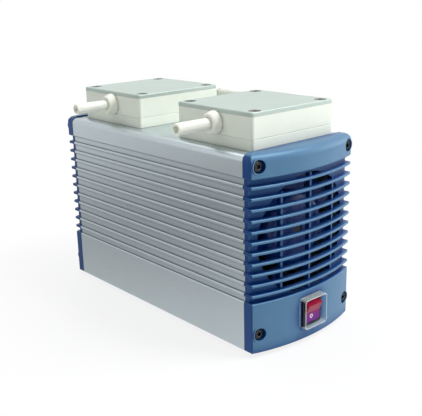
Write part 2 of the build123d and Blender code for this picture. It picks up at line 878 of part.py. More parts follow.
def diaphragm(name):
    """Elastic diaphragm: flat rim, sloping web and flat centre."""
    t = diaphragm_thickness
    rim = parting - t
    mid = rim + lift[name]
    r0, r1, r2 = stud_radius + thread_gap, support_radius + disc_edge, drive_bore_radius - disc_edge
    points = [(r0, mid), (r1, mid), (r2, rim), (diaphragm_rim_radius, rim), (diaphragm_rim_radius, rim + t),
              (r2, rim + t), (r1, mid + t), (r0, mid + t)]
    return turned_z(points, 0, head_ys[name])


# ---------------------------------------------------------------- heads

def head_plan(y, inset=0):
    """Plan of a pump head, its upright corners rounded."""
    return Pos(0, y) * RectangleRounded(head_width - 2 * inset, head_length - 2 * inset, head_corner - inset)


def head_screw_places(name):
    """Axes of the four screws of one head."""
    h = head_screw_spacing / 2
    return [(x, head_ys[name] + y) for x, y in four(h, h)]


def screw_bores(name, z0, z1):
    """Clearance holes for one head's screws."""
    return [rod_z(m6_radius + hole_gap, z0, z1, x, y) for x, y in head_screw_places(name)]


def head_base(name):
    """Lower ring of a head, with the seat of the diaphragm's rim."""
    y = head_ys[name]
    base = slab_z(head_plan(y), roof, parting)
    base = chamfer(base.faces().sort_by(Axis.Z)[-1].edges(), parting_chamfer)
    base -= rod_z(drive_bore_radius, roof - overrun, parting + overrun, 0, y)
    base -= rod_z(diaphragm_rim_radius + thread_gap, parting - diaphragm_thickness, parting + overrun, 0, y)
    return base - screw_bores(name, roof - overrun, parting + overrun)


def chamber(name):
    """Pumping space under the head block, and its ceiling's height."""
    ceiling = parting + throw + clamp_height + top_dead_gap
    flat = clamp_radius + throw + chamber_gap
    low, r = parting - overrun, drive_bore_radius
    points = [(0, low), (r, low), (r, parting + chamber_wall), (flat, ceiling), (0, ceiling)]
    return turned_z(points, 0, head_ys[name])


def head_block(name):
    """Head block: chamber below, valve holes above and a port on each side."""
    y = head_ys[name]
    py = y + port_shift
    body = slab_z(head_plan(y), parting, block_top)
    body = chamfer(body.faces().sort_by(Axis.Z)[0].edges(), parting_chamfer)
    half = head_width / 2
    tip = half + spigot_length
    body += rod_x(spigot_radius, -tip, overrun - half, py, port_z)
    body += rod_x(spigot_radius, half - overrun, tip, py, port_z)
    body -= chamber(name)
    sheet_z = block_top - sheet_thickness
    body -= Pos(0, y, sheet_z) * extrude(sheet_outline(thread_gap), amount=2 * sheet_thickness)
    body -= screw_bores(name, parting - overrun, block_top + overrun)
    for x in port_holes:
        sign = -1 if x < 0 else 1
        bore = sorted((x, sign * (tip + overrun)))
        socket = sorted((sign * (half - nozzle_insert), sign * (tip + overrun)))
        body -= rod_x(port_radius, bore[0], bore[1], py, port_z)
        body -= rod_x(nozzle_tail_radius + thread_gap, socket[0], socket[1], py, port_z)
        body -= rod_z(valve_hole, port_z, block_top, x, py)
    for x in chamber_holes:
        body -= rod_z(valve_hole, parting, block_top, x, py)
    return body


def sheet_outline(grow):
    """Outline of the valve sheet."""
    return RectangleRounded(sheet_length + 2 * grow, sheet_width + 2 * grow, sheet_corner)


def valve_sheet(name):
    """Elastic sheet between block and plate, with a flap cut over each seat."""
    face = sheet_outline(0)
    half = flap_width / 2
    tongue_width = flap_width - 2 * flap_slit
    for x in (-valve_x, valve_x):
        frame = Pos(x, port_shift) * RectangleRounded(flap_width, flap_width, flap_corner)
        tongue = Pos(x, port_shift) * RectangleRounded(tongue_width, tongue_width, flap_corner)
        neck = rect(x - tongue_width / 2, x + tongue_width / 2, port_shift - half - overrun, port_shift)
        face -= frame - tongue - neck
        face -= Pos(x + valve_throw, port_shift) * Circle(sheet_hole)
    return Pos(0, head_ys[name], block_top - sheet_thickness) * extrude(face, amount=sheet_thickness)


def countersink(x, y, radius, z0, z1):
    """Clearance hole that opens into a countersink, its lip under z1."""
    bore = m6_radius + hole_gap
    lip, top = z1 - sink_lip, plate_top + overrun
    points = [(0, z0), (bore, z0), (bore, lip - radius + bore), (radius, lip), (radius, top), (0, top)]
    return turned_z(points, x, y)


def head_plate(name):
    """Clamping plate, countersunk for its screws, pocketed over the flaps."""
    y = head_ys[name]
    plate = slab_z(head_plan(y), block_top, plate_top)
    plate = chamfer(plate.faces().sort_by(Axis.Z)[-1].edges(), plate_chamfer)
    half = flap_width / 2
    for x in (-valve_x, valve_x):
        plate -= block(x - half, x + valve_throw + valve_hole, y + port_shift - half, y + port_shift + half,
                       block_top - overrun, block_top + flap_pocket)
    for x, yy in head_screw_places(name):
        plate -= countersink(x, yy, sink_radius + sink_gap, block_top - overrun, plate_top - sink_drop)
    return plate


def head_screws():
    """Eight long countersunk screws, down into the roof of the body."""
    top = plate_top - sink_drop
    low = roof - roof_wall + screw_short
    lip = top - sink_lip
    r, head = m6_radius, sink_radius
    screw = turned_z([(0, low), (r, low), (r, lip - head + r), (head, lip), (head, top), (0, top)], 0, 0)
    socket = extrude(RegularPolygon(sink_hex / 2, 6, major_radius=False), amount=sink_socket + overrun)
    screw -= Pos(0, 0, top - sink_socket) * socket
    return [Pos(x, y, 0) * screw for name in head_ys for x, y in head_screw_places(name)]


# ---------------------------------------------------------------- ports

def union_nut(name, sign):
    """Tapered union nut on a head's spigot."""
    x0 = head_width / 2 + nut_gap
    lip = spigot_length + nut_lip
    bore, throat, c = spigot_radius + thread_gap, nozzle_tail_radius + thread_gap, nut_chamfer
    far, tip = nut_length, nut_tip_radius
    points = [(0, bore), (0, nut_radius - c), (c, nut_radius), (nut_collar, nut_radius), (far - c, tip + c),
              (far, tip), (far, throat), (lip, throat), (lip, bore)]
    return turned_x([(sign * (x0 + x), r) for x, r in points], head_ys[name] + port_shift, port_z)


def union_nuts():
    """The four union nuts at the heads' ports."""
    return [union_nut(name, sign) for name in head_ys for sign in (-1, 1)]


def hose_nozzle(name):
    """Smooth hose nozzle on the left of a head, with a rounded lip."""
    x0 = head_width / 2 - nozzle_insert
    x1 = head_width / 2 + nut_gap + nut_length
    x2 = head_width / 2 + nozzle_reach
    bore, tail, r, lip = nozzle_bore, nozzle_tail_radius, nozzle_radius, nozzle_round
    wall = Polyline((x2, r - lip), (x2, bore), (x0, bore), (x0, tail), (x1, tail), (x1, r), (x2 - lip, r))
    nose = RadiusArc((x2 - lip, r), (x2, r - lip), lip)
    nozzle = revolve(make_face([wall, nose]), Axis.X)
    return Pos(0, head_ys[name] + port_shift, port_z) * Rot(0, 0, 180) * nozzle


def elbow(name):
    """Elbow from a head's right port round to the connecting tube."""
    y = head_ys[name] + port_shift
    sign = -way[name]
    x0 = head_width / 2 - nozzle_insert
    seat = head_width / 2 + nut_gap + nut_length
    leg_y = y + sign * elbow_leg
    path = FilletPolyline((seat, y, port_z), (tube_x, y, port_z), (tube_x, leg_y, port_z), radius=elbow_bend)
    start = Plane(origin=(seat, y, port_z), z_dir=(1, 0, 0))
    body = sweep(start * Circle(elbow_radius), path=path)
    body += rod_x(nozzle_tail_radius, x0, seat + overrun, y, port_z)
    bore = sweep(start * Circle(port_radius), path=path)
    bore += rod_x(port_radius, x0 - overrun, seat + overrun, y, port_z)
    y0, y1 = sorted((leg_y - sign * tube_insert, leg_y + sign))
    bore += rod_y(tube_radius + thread_gap, y0, y1, tube_x, port_z)
    return body - bore


def elbows():
    """Both elbows, mirror images of each other."""
    return [elbow(name) for name in head_ys]


def tube_ends():
    """Ends of the connecting tube, inside the elbows."""
    front = head_ys["front"] + port_shift + elbow_leg - tube_insert + tube_end_gap
    rear = head_ys["rear"] + port_shift - elbow_leg + tube_insert - tube_end_gap
    return front, rear


def connecting_tube():
    """Rigid tube that joins the two heads in series."""
    y0, y1 = tube_ends()
    bore = rod_y(tube_bore, y0 - overrun, y1 + overrun, tube_x, port_z)
    return rod_y(tube_radius, y0, y1, tube_x, port_z) - bore


def tube_nuts():
    """Union nuts where the connecting tube enters the elbows."""
    nuts = []
    for name in head_ys:
        sign = -way[name]
        leg_y = head_ys[name] + port_shift + sign * elbow_leg
        bore, throat, c = elbow_radius + thread_gap, tube_radius + thread_gap, nut_chamfer
        nose, seat = small_nut_nose, small_nut_seat
        lap = small_nut_length - nose
        r = small_nut_radius
        points = [(bore, -lap), (r - c, -lap), (r, c - lap), (r, 0), (bore + c, nose - c), (bore, nose),
                  (throat, nose), (throat, seat), (bore, seat)]
        nuts.append(turned_y([(r, leg_y + sign * y) for r, y in points], tube_x, port_z))
    return nuts


# ---------------------------------------------------------------- switch, inlet and capacitor

def contact_tab(x, y0, y1, z):
    """Flat blade of an electrical contact, standing along Y."""
    return block(x - tab_thickness / 2, x + tab_thickness / 2, y0, y1, z - tab_width / 2, z + tab_width / 2)


def switch_frame():
    """Body of the rocker switch: bezel in front, contact box behind."""
    w, h = switch_width / 2, switch_tall / 2
    front, back = pad_y - bezel_depth, pad_y + switch_body_depth
    frame = block(-w, w, front, pad_y, switch_z - h, switch_z + h)
    frame = chamfer(frame.faces().sort_by(Axis.Y)[0].edges(), bezel_chamfer)
    bw, bh = w - bezel_wall / 2 - inlet_gap, h - bezel_wall / 2 - inlet_gap
    frame += block(-bw, bw, pad_y, back, switch_z - bh, switch_z + bh)
    iw, ih = w - bezel_wall, h - bezel_wall
    frame -= block(-iw, iw, front - overrun, pad_y + switch_body_depth / 2, switch_z - ih, switch_z + ih)
    frame -= rod_x(rocker_pin + rocker_pin_gap, -iw - overrun, iw + overrun, rocker_y(), switch_z)
    for x in (-pin_spacing, 0, pin_spacing):
        frame += contact_tab(x, back - overrun, back + tab_length, switch_z)
    return frame


def rocker_y():
    """Depth of the rocker's axis."""
    return pad_y + rocker_depth


def rocker():
    """Rocker with two faces at an angle, its lower face pressed level."""
    width = switch_width / 2 - bezel_wall - rocker_gap
    tilt = radians(rocker_swing / 2)
    mid = rocker_y() - pad_y + bezel_depth + rocker_mid_depth
    room = switch_tall / 2 - bezel_wall - rocker_gap
    half = (room - mid * sin(tilt)) / (cos(tilt) + sin(tilt)**2 / cos(tilt))
    tip = mid + half * sin(tilt) / cos(tilt)
    low = room - disc_edge
    points = [(-half, tip), (0, mid), (half, tip), (low, 0), (0, -rocker_hub), (-low, 0)]
    face = make_face(Polyline(*[(-y, z) for z, y in points], close=True))
    body = Pos(-width, 0, 0) * extrude(Plane.YZ * face, amount=2 * width)
    reach = switch_width / 2 - bezel_wall + rocker_pin_seat
    body += rod_x(rocker_pin, -reach, reach, 0, 0)
    body = Rot(rocker_swing / 2, 0, 0) * body
    return Pos(0, rocker_y(), switch_z) * body


def splash_cover():
    """Clear cap over the switch, open at the back, with rounded corners."""
    w, h = splash_width, splash_tall
    outer = Pos(0, switch_z) * RectangleRounded(w, h, splash_corner)
    t = splash_wall
    inner = Pos(0, switch_z) * RectangleRounded(w - 2 * t, h - 2 * t, splash_corner - t)
    y0 = pad_y - splash_depth
    cap = slab_y(outer, y0, pad_y)
    cap = fillet(cap.faces().sort_by(Axis.Y)[0].edges(), splash_round)
    return cap - slab_y(inner, y0 + t, pad_y + overrun)


def mains_inlet():
    """Three-pin appliance inlet with a screwed flange."""
    y = inlet_face
    z = inlet_z
    front, back = y + inlet_flange_depth, y - inlet_body_depth
    flange = Pos(0, z) * RectangleRounded(inlet_flange_width, inlet_flange_tall, inlet_flange_corner)
    inlet = slab_y(flange, y, front)
    inlet += block(-inlet_body_width / 2, inlet_body_width / 2, back, y + overrun, z - inlet_body_tall / 2,
                   z + inlet_body_tall / 2)
    socket = Pos(0, z) * Rectangle(inlet_socket_width, inlet_socket_tall)
    socket = chamfer(socket.vertices().group_by(Axis.Y)[-1], inlet_socket_chamfer)
    floor = front - inlet_socket_depth
    inlet -= slab_y(socket, floor, front + overrun)
    for i in (-1, 0, 1):
        pz = z + pin_shift * (1 - 2 * abs(i))
        x = i * pin_spacing
        inlet += block(x - pin_width / 2, x + pin_width / 2, floor - overrun, front - pin_setback,
                       pz - pin_height / 2, pz + pin_height / 2)
        inlet += contact_tab(x, back - tab_length, back + overrun, pz)
    for x in (-inlet_screw_spacing / 2, inlet_screw_spacing / 2):
        inlet -= rod_y(inlet_screw_radius + thread_gap, y - overrun, front + overrun, x, z)
    return inlet


def inlet_screws():
    """Two small cross-slotted screws through the inlet's flange."""
    r, head, top = inlet_screw_radius, inlet_screw_head, inlet_screw_dome
    y = inlet_face + inlet_flange_depth
    tip = y - inlet_screw_length
    screw = turned_y([(0, tip), (r, tip), (r, y), (head, y), (inlet_screw_crown, y + 0.75 * top),
                      (head / 2, y + top), (0, y + top)], 0, 0)
    half, reach = inlet_slot_width / 2, inlet_slot_length / 2
    screw -= block(-half, half, y + top / 2, y + top + overrun, -reach, reach)
    screw -= block(-reach, reach, y + top / 2, y + top + overrun, -half, half)
    return [Pos(x, 0, inlet_z) * screw for x in (-inlet_screw_spacing / 2, inlet_screw_spacing / 2)]


def capacitor_span():
    """Ends of the run capacitor along Y."""
    y0 = bracket_ys()["rear"] + bracket_depth / 2 + capacitor_gap
    return y0, y0 + capacitor_length


def capacitor_z():
    """Height of the run capacitor's axis, clipped down on a rail."""
    return rail_top + clip_thickness + capacitor_radius


def run_capacitor():
    """Run capacitor lying on the floor behind the motor."""
    y0, y1 = capacitor_span()
    r, c = capacitor_radius, can_lip
    z = capacitor_z()
    points = [(0, y0), (r - c, y0), (r, y0 + c), (r, y1 - 2 * c), (r - c, y1 - c), (r - c, y1), (0, y1)]
    can = turned_y(points, capacitor_x, z)
    for x in (-tab_spacing / 2, tab_spacing / 2):
        tab = Rot(0, 90, 0) * contact_tab(0, y1 - overrun, y1 + tab_length, 0)
        can += Pos(capacitor_x + x, 0, z) * tab
    return can


def capacitor_clip():
    """Sprung band that holds the capacitor down on a rail."""
    y0, y1 = capacitor_span()
    mid = (y0 + y1) / 2
    r = capacitor_radius
    inner = r + clip_gap
    face = Circle(inner + clip_thickness) - Circle(inner)
    face -= Pos(0, r) * Rectangle(r, r)
    band = slab_y(Pos(capacitor_x, capacitor_z()) * face, mid - clip_width / 2, mid + clip_width / 2)
    return band & block(-side, side, y0, y1, rail_top, roof)


def parts():
    """Every piece by the name of its node."""
    pieces = {
        "housing": housing(),
        "rubber_feet": rubber_feet(),
        "feet_screws": feet_screws(),
        "front_cover": front_cover(),
        "rear_cover": rear_cover(),
        "front_cover_screws": cover_screws("front"),
        "rear_cover_screws": cover_screws("rear"),
        "bracket_screws": bracket_screws(),
        "stator_core": stator_core(),
        "stator_windings": stator_windings(),
        "motor_tie_bolts": tie_bolts(),
        "motor_bearings": motor_bearings(),
        "motor_shaft": motor_shaft(),
        "rotor_core": rotor_core(),
        "cooling_fan": cooling_fan(),
        "fan_collar": fan_collar(),
        "head_screws": head_screws(),
        "union_nuts": union_nuts(),
        "tube_elbows": elbows(),
        "tube_nuts": tube_nuts(),
        "connecting_tube": connecting_tube(),
        "switch_frame": switch_frame(),
        "switch_rocker": rocker(),
        "splash_cover": splash_cover(),
        "mains_inlet": mains_inlet(),
        "inlet_screws": inlet_screws(),
        "run_capacitor": run_capacitor(),
        "capacitor_clip": capacitor_clip(),
    }
    for name in head_ys:
        pieces[name + "_motor_bracket"] = motor_bracket(name)
        pieces[name + "_eccentric"] = eccentric(name)
        pieces[name + "_counterweight"] = counterweight(name)
        pieces[name + "_rod_bearing"] = rod_bearing(name)
        pieces[name + "_connecting_rod"] = connecting_rod(name)
        pieces[name + "_support_disc"] = support_disc(name)
        pieces[name + "_diaphragm"] = diaphragm(name)
        pieces[name + "_clamping_disc"] = clamping_disc(name)
        pieces[name + "_head_base"] = head_base(name)
        pieces[name + "_head_block"] = head_block(name)
        pieces[name + "_valve_sheet"] = valve_sheet(name)
        pieces[name + "_head_plate"] = head_plate(name)
        pieces[name + "_hose_nozzle"] = hose_nozzle(name)
    return pieces


os.makedirs("parts", exist_ok=True)
for node, shape in parts().items():
    solids = Compound(children=list(shape)) if isinstance(shape, list) else shape
    export_step(solids, f"parts/{node}.step")
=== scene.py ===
from math import cos, pi, radians, sin

import bmesh
import bpy
from mathutils import Matrix, Vector
from mathutils.bvhtree import BVHTree


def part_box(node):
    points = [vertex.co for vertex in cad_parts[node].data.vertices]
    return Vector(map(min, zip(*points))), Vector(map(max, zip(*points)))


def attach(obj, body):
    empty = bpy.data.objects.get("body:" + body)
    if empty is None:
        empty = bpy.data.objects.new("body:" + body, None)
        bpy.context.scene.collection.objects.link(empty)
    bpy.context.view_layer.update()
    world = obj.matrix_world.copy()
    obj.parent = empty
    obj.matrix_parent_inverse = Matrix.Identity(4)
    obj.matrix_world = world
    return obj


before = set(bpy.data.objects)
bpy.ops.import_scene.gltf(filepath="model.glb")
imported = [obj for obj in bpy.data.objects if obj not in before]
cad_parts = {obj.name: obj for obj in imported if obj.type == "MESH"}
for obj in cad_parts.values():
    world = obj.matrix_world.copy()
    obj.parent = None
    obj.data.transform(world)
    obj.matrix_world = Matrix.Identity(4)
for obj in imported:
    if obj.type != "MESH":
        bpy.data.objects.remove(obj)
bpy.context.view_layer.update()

# ---------------------------------------------------------------- camera

AIM = Vector((0.0, -0.019, 0.1063))
DISTANCE = 0.809
AZIMUTH = radians(-41.07)
ELEVATION = radians(16.89)
ROLL = radians(-1.377)
LENS = 62.62
SENSOR = 36.0


def camera_axes():
    """Right, up and back of the camera in the frame."""
    back = Vector((sin(AZIMUTH) * cos(ELEVATION), -cos(AZIMUTH) * cos(ELEVATION), sin(ELEVATION)))
    right = Vector((0, 0, 1)).cross(back).normalized()
    up = back.cross(right)
    c, s = cos(ROLL), sin(ROLL)
    return c * right + s * up, c * up - s * right, back


def make_camera():
    """Camera on the left of the front cover, a little above the heads."""
    right, up, back = camera_axes()
    data = bpy.data.cameras.new("camera")
    data.sensor_fit = "HORIZONTAL"
    data.sensor_width = SENSOR
    data.lens = LENS
    data.clip_start = 0.01
    camera = bpy.data.objects.new("camera", data)
    turn = Matrix((right, up, back)).transposed().to_4x4()
    camera.matrix_world = Matrix.Translation(AIM + back * DISTANCE) @ turn
    bpy.context.scene.collection.objects.link(camera)
    bpy.context.scene.camera = camera


# ---------------------------------------------------------------- materials

def map_range(tree, value, start, stop, low, high):
    """A value between start and stop, mapped from low to high."""
    ranged = tree.nodes.new("ShaderNodeMapRange")
    for key, number in zip(("From Min", "From Max", "To Min", "To Max"), (start, stop, low, high)):
        ranged.inputs[key].default_value = number
    tree.links.new(value, ranged.inputs["Value"])
    return ranged.outputs["Result"]


def combine(tree, operation, a, b):
    """One number from two."""
    made = tree.nodes.new("ShaderNodeMath")
    made.operation = operation
    tree.links.new(a, made.inputs[0])
    tree.links.new(b, made.inputs[1])
    return made.outputs[0]


# Noise values run mostly between these two
NOISE_SPAN = (0.3, 0.7)
PATCH_DETAIL = 3.0
GLOSS_DETAIL = 4.0
RELIEF_DETAIL = 2.0

# Cosine between true and rounded normal, from a flat face to a sharp edge
EDGE_SPAN = (0.999, 0.93)
EDGE_SAMPLES = 8
ROUNDING_SAMPLES = 4

# Share of open space in front of a surface, from closed to open
SHELTER_SPAN = (0.6, 0.95)
SHELTER_SAMPLES = 8

# Pointiness from a flat face to a convex edge, for the painted highlight on edges
PAINTED_HIGHLIGHT_SPAN = (0.5, 0.54)


class Finish:
    """A material whose colour, roughness and relief vary through noise in the piece's own space."""

    def __init__(self, name, colour, roughness, metallic=0.0):
        self.material = bpy.data.materials.new(name)
        self.material.use_nodes = True
        self.tree = self.material.node_tree
        self.bsdf = self.tree.nodes["Principled BSDF"]
        self.bsdf.inputs["Base Color"].default_value = (*colour, 1)
        self.bsdf.inputs["Roughness"].default_value = roughness
        self.bsdf.inputs["Metallic"].default_value = metallic
        self.colour = colour
        self.place = self.node("ShaderNodeTexCoord").outputs["Object"]

    def node(self, kind, **values):
        """A new node, with its named inputs set."""
        made = self.tree.nodes.new(kind)
        for key, value in values.items():
            made.inputs[key].default_value = value
        return made

    def link(self, output, target):
        """Joins an output to an input."""
        self.tree.links.new(output, target)

    def stretched(self, scale):
        """The piece's own coordinates, scaled along each axis."""
        mapping = self.node("ShaderNodeMapping", Scale=scale)
        self.link(self.place, mapping.inputs["Vector"])
        return mapping.outputs["Vector"]

    def noise(self, scale, detail, stretch):
        """Noise value; scale is in cycles per metre."""
        texture = self.node("ShaderNodeTexNoise", Scale=scale, Detail=detail)
        self.link(self.stretched(stretch), texture.inputs["Vector"])
        return texture.outputs["Fac"]

    def spread(self, value, low, high, start, stop):
        """A value between start and stop, mapped from low to high."""
        return map_range(self.tree, value, start, stop, low, high)

    def tint(self, value, other):
        """Mixes the colour so far with another one where value is high."""
        mix = self.node("ShaderNodeMix")
        mix.data_type = "RGBA"
        a, b = mix.inputs[6], mix.inputs[7]
        socket = self.bsdf.inputs["Base Color"]
        if socket.is_linked:
            self.link(socket.links[0].from_socket, a)
        else:
            a.default_value = socket.default_value
        b.default_value = (*other, 1)
        self.link(value, mix.inputs[0])
        self.link(mix.outputs[2], socket)
        return self

    def mottle(self, scale, amount, stretch=(1, 1, 1)):
        """Soft lighter and darker patches."""
        darker = tuple(c * (1 - amount) for c in self.colour)
        patches = self.noise(scale, PATCH_DETAIL, stretch)
        return self.tint(self.spread(patches, 0.0, 1.0, *NOISE_SPAN), darker)

    def gloss(self, scale, low, high, stretch=(1, 1, 1)):
        """Roughness between two values."""
        grain = self.noise(scale, GLOSS_DETAIL, stretch)
        self.link(self.spread(grain, low, high, *NOISE_SPAN), self.bsdf.inputs["Roughness"])
        return self

    def relief(self, scale, depth, stretch=(1, 1, 1), edge=0.0):
        """Fine relief of a depth in metres, on edges rounded by a radius."""
        bump = self.node("ShaderNodeBump", Strength=1.0, Distance=depth)
        self.link(self.noise(scale, RELIEF_DETAIL, stretch), bump.inputs["Height"])
        if edge:
            bevel = self.node("ShaderNodeBevel", Radius=edge)
            bevel.samples = ROUNDING_SAMPLES
            self.link(bevel.outputs["Normal"], bump.inputs["Normal"])
        self.link(bump.outputs["Normal"], self.bsdf.inputs["Normal"])
        return self

    def rims(self, radius, low, high):
        """A value that rises from low to high within a radius of any edge."""
        bevel = self.node("ShaderNodeBevel", Radius=radius)
        bevel.samples = EDGE_SAMPLES
        dot = self.node("ShaderNodeVectorMath")
        dot.operation = "DOT_PRODUCT"
        self.link(bevel.outputs["Normal"], dot.inputs[0])
        self.link(self.node("ShaderNodeNewGeometry").outputs["Normal"], dot.inputs[1])
        return self.spread(dot.outputs["Value"], low, high, *EDGE_SPAN)

    def sheltered(self, reach):
        """A value that rises to 1 where nearby surfaces close the space in front, used as the mask for
        painted shade.
        """
        shade = self.node("ShaderNodeAmbientOcclusion", Distance=reach)
        shade.samples = SHELTER_SAMPLES
        return self.spread(shade.outputs["AO"], 1.0, 0.0, *SHELTER_SPAN)

    def strongest(self, a, b):
        """The larger of two values."""
        return combine(self.tree, "MAXIMUM", a, b)

    def facing(self, axis, start, stop, amount=1.0):
        """A value on faces that look along an axis, either way."""
        split = self.node("ShaderNodeSeparateXYZ")
        self.link(self.node("ShaderNodeNewGeometry").outputs["True Normal"], split.inputs[0])
        size = self.node("ShaderNodeMath")
        size.operation = "ABSOLUTE"
        self.link(split.outputs[axis], size.inputs[0])
        return self.spread(size.outputs[0], 0.0, amount, start, stop)

    def ramp_along(self, axis, start, stop):
        """A value from 0 to 1 along an axis of the frame."""
        split = self.node("ShaderNodeSeparateXYZ")
        self.link(self.place, split.inputs[0])
        return self.spread(split.outputs[axis], 0.0, 1.0, start, stop)

    def waxy(self, weight, depth, colour=(1.0, 0.7, 0.5)):
        """Light that passes a little way into the plastic."""
        self.bsdf.inputs["Subsurface Weight"].default_value = weight
        self.bsdf.inputs["Subsurface Scale"].default_value = depth
        self.bsdf.inputs["Subsurface Radius"].default_value = colour
        return self

    def shine(self, level, tint=(1, 1, 1)):
        """Strength and tint of the reflection at the surface."""
        self.bsdf.inputs["Specular IOR Level"].default_value = level
        self.bsdf.inputs["Specular Tint"].default_value = (*tint, 1)
        return self

    def painted_highlight(self, other, amount):
        """Painted highlight: another colour along convex edges."""
        edges = self.node("ShaderNodeNewGeometry").outputs["Pointiness"]
        return self.tint(self.spread(edges, 0.0, amount, *PAINTED_HIGHLIGHT_SPAN), other)

    def put(self, *nodes):
        """Gives the material to CAD nodes by name."""
        for name in nodes:
            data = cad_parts[name].data
            data.materials.clear()
            data.materials.append(self.material)
        return self.material


def both(*endings):
    """Names of the front and the rear copy of each node."""
    return [side + ending for ending in endings for side in ("front_", "rear_")]


# Painted reflection: the rocker is violet below these heights from its middle, for the blue cover it
# mirrors, and turns to its red between them
ROCKER_REFLECTION_BLEND = (-0.006, 0.003)

# Painted highlight: the clear cap shows pale at its edges, and a painted reflection makes it show a little
# on its upper and lower walls
CAP_EDGE = 0.0013
CAP_EDGE_HIGHLIGHT_ALPHA = 0.85
CAP_WALL_REFLECTION_ALPHA = 0.22


def body_finishes():
    """Anodised extrusion and its feet."""
    grain = (1, 0.02, 1)
    body = Finish("satin_aluminium", (0.385, 0.465, 0.51), 0.32, 0.8)
    body.mottle(18, 0.08).mottle(1400, 0.05, grain).gloss(900, 0.27, 0.37, grain)
    # Painted highlight: lighter grey along the convex edges, such as the rib tops.
    body.relief(2500, 0.00002, grain, 0.0004).painted_highlight((0.62, 0.67, 0.68), 0.5)
    # Painted shade: darker in the grooves and hollows beside the ribs.
    body.tint(body.sheltered(0.004), (0.16, 0.2, 0.23))
    body.put("housing")
    feet = Finish("foot_rubber", (0.02, 0.02, 0.021), 0.8)
    feet.mottle(120, 0.3).relief(1500, 0.00005, edge=0.0004).put("rubber_feet")


def cover_finishes():
    """Blue moulded covers with a fine grain."""
    cover = Finish("blue_plastic", (0.085, 0.188, 0.32), 0.42).shine(0.5, (0.45, 0.8, 1))
    cover.mottle(30, 0.08).gloss(700, 0.36, 0.44).relief(2200, 0.00002, edge=0.0006)
    # Painted shade: navy in the recesses behind the slats and on the side lips that face along X.
    painted_shade_mask = cover.strongest(cover.sheltered(0.016), cover.facing("X", 0.4, 0.8))
    cover.tint(painted_shade_mask, (0.0, 0.034, 0.185))
    cover.put("front_cover", "rear_cover")


def screw_finishes():
    """Black and bright fasteners."""
    black = Finish("black_oxide", (0.004, 0.004, 0.005), 0.22).shine(0.15)
    # Light grey within a small radius of edges: worn steel on the black oxide, and a painted glint at the
    # hex socket and rims.
    black.mottle(300, 0.3).tint(black.rims(0.0004, 0.0, 0.8), (0.45, 0.46, 0.47))
    black.gloss(900, 0.16, 0.28).relief(2500, 0.00001, edge=0.0003)
    black.put("head_screws", "front_cover_screws", "rear_cover_screws", "feet_screws")
    zinc = Finish("zinc", (0.62, 0.63, 0.64), 0.3, 1.0)
    zinc.mottle(200, 0.12).gloss(800, 0.25, 0.4).relief(2500, 0.00001, edge=0.0002)
    zinc.put("bracket_screws", "motor_tie_bolts", "inlet_screws", "capacitor_clip", "fan_collar")


def head_finishes():
    """Cream heads under satin plates, with fittings of the same plastic."""
    head = Finish("head_plastic", (0.82, 0.865, 0.765), 0.5).waxy(0.12, 0.004).shine(0.35)
    head.mottle(25, 0.04).gloss(500, 0.45, 0.6).relief(1800, 0.00001, edge=0.0005)
    head.put(*both("head_base", "head_block", "clamping_disc"))
    plate = Finish("plate_aluminium", (0.45, 0.53, 0.49), 0.4, 0.45).shine(0.15)
    plate.mottle(15, 0.05).gloss(900, 0.35, 0.5, (0.02, 1, 1)).relief(2500, 0.00001, (0.02, 1, 1), 0.0005)
    plate.put(*both("head_plate"))
    fitting = Finish("fitting_plastic", (0.88, 0.91, 0.78), 0.42).waxy(0.7, 0.006, (1, 1, 0.8)).shine(0.4)
    fitting.mottle(60, 0.05).gloss(400, 0.36, 0.5).relief(1500, 0.00001, edge=0.0004)
    fitting.put("union_nuts", "tube_elbows", "tube_nuts", "connecting_tube", *both("hose_nozzle"))


def drive_finishes():
    """Motor, crank and diaphragms inside."""
    cast = Finish("cast_aluminium", (0.32, 0.32, 0.33), 0.55, 0.8)
    cast.mottle(80, 0.15).gloss(400, 0.4, 0.65).relief(900, 0.00005, edge=0.0005)
    cast.put(*both("connecting_rod", "support_disc"))
    # Brackets near black: painted shade for the dark inside of the housing behind the fan.
    shade_cast = Finish("cast_painted_shade", (0.02, 0.021, 0.024), 0.55)
    shade_cast.mottle(80, 0.2).relief(900, 0.00005, edge=0.0005).put(*both("motor_bracket"))
    dark = Finish("blued_steel", (0.008, 0.010, 0.02), 0.5)
    dark.mottle(200, 0.2).relief(2000, 0.000005, edge=0.0003).put("motor_shaft")
    ground = Finish("ground_steel", (0.58, 0.59, 0.6), 0.25, 1.0)
    ground.mottle(100, 0.08).gloss(900, 0.18, 0.32, (1, 20, 1)).relief(2500, 0.000005, edge=0.0002)
    ground.put("motor_bearings", *both("eccentric", "rod_bearing"))
    iron = Finish("cast_iron", (0.09, 0.09, 0.095), 0.6, 0.7)
    iron.mottle(150, 0.25).relief(900, 0.00006, edge=0.0004).put(*both("counterweight"))
    stack = Finish("laminations", (0.2, 0.205, 0.22), 0.5, 0.8)
    stack.mottle(60, 0.2).relief(900, 0.00008, (0.02, 3, 0.02)).put("stator_core")
    rotor = Finish("rotor_cage", (0.5, 0.5, 0.52), 0.45, 0.9)
    rotor.mottle(60, 0.2).relief(1200, 0.00003, edge=0.0004).put("rotor_core")
    copper = Finish("end_turns", (0.42, 0.13, 0.045), 0.35, 0.6)
    copper.mottle(200, 0.35, (6, 1, 6)).relief(500, 0.0005, (1, 6, 1)).put("stator_windings")
    elastic = Finish("elastomer", (0.04, 0.04, 0.042), 0.6)
    elastic.mottle(100, 0.2).relief(1500, 0.00002).put(*both("diaphragm", "valve_sheet"))
    fan = Finish("fan_plastic", (0.0, 0.035, 0.22), 0.3).shine(0.35)
    fan.mottle(60, 0.2).gloss(300, 0.26, 0.32).relief(600, 0.000004, edge=0.0005).put("cooling_fan")
    can = Finish("capacitor_can", (0.6, 0.61, 0.63), 0.35)
    can.mottle(60, 0.06).relief(900, 0.00002, edge=0.0004).put("run_capacitor")


